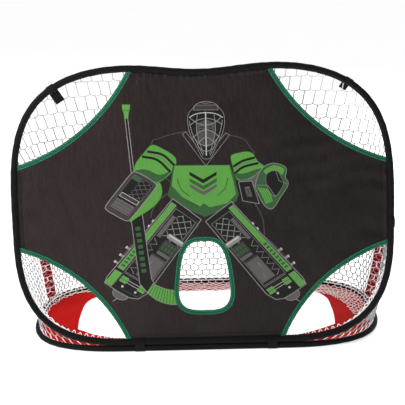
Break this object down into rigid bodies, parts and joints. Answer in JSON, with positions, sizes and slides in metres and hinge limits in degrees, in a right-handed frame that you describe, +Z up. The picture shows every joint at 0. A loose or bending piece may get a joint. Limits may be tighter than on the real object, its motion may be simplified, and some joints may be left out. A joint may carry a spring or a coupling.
{
  "type": "hockey goal net",
  "caption": "Pop-up street hockey goal: sprung hoops in sleeves, white net, red floor ring and a target tarp with bound openings; the front folds back on the base.",
  "frame": {"origin": "middle of the footprint on the floor", "axes": "+Z up, +X to the goal's right seen from the shooter, -Y towards the shooter"},
  "size_m": [1.2215, 0.6499, 0.9316],
  "materials": {
    "sleeve": "black woven polyester, slight sheen",
    "tarp": "dark printed polyester, satin",
    "green_tape": "green woven binding tape",
    "red_cloth": "red woven polyester",
    "net": "white braided polyester cord, 32 mm mesh",
    "webbing": "black webbing",
    "hoop_steel": "oiled spring steel",
    "crimp": "zinc-plated crimp"
  },
  "bodies": {
    "base_frame": {"base_sleeve": "sleeve", "base_hoop": "hoop_steel", "base_ferrule": "crimp", "base_seam_patch": "sleeve", "floor_ring": "red_cloth", "tie_band_left": "webbing", "tie_band_right": "webbing", "net_back": "net", "net_side_left": "net", "net_side_right": "net", "red_band_left": "red_cloth", "red_band_right": "red_cloth"},
    "front_frame": {"front_sleeve": "sleeve", "front_hoop": "hoop_steel", "front_ferrule": "crimp", "front_cuff": "sleeve", "tarp": "tarp", "hem_top": "tarp", "hem_bottom": "tarp", "hem_left": "tarp", "hem_right": "tarp", "binding_upper_left": "green_tape", "binding_upper_right": "green_tape", "binding_lower_left": "green_tape", "binding_lower_right": "green_tape", "binding_five_hole": "green_tape", "strap_anchor_left": "webbing", "strap_anchor_right": "webbing"},
    "strap_left": {"strap_left": "webbing", "strap_left_patch": "webbing"},
    "strap_right": {"strap_right": "webbing", "strap_right_patch": "webbing"}
  },
  "joints": [
    {"name": "fold", "type": "hinge", "parent": "base_frame", "child": "front_frame", "pos_m": [0, -0.313, 0.031], "axis": [-1, 0, 0], "range_deg": [0, 86], "stiffness_Nm_per_rad": 5, "springref_deg": -11.46, "deforming": ["net_back", "net_side_left", "net_side_right", "red_band_left", "red_band_right"]},
    {"name": "strap_left_lift", "type": "hinge", "parent": "front_frame", "child": "strap_left", "pos_m": [-0.46791, -0.24385, 0.8704], "axis": [0.8438, 0.0374, 0.5353], "range_deg": [0, 110]},
    {"name": "strap_right_lift", "type": "hinge", "parent": "front_frame", "child": "strap_right", "pos_m": [0.46791, -0.24385, 0.8704], "axis": [0.8438, -0.0374, -0.5353], "range_deg": [0, 110]}
  ]
}
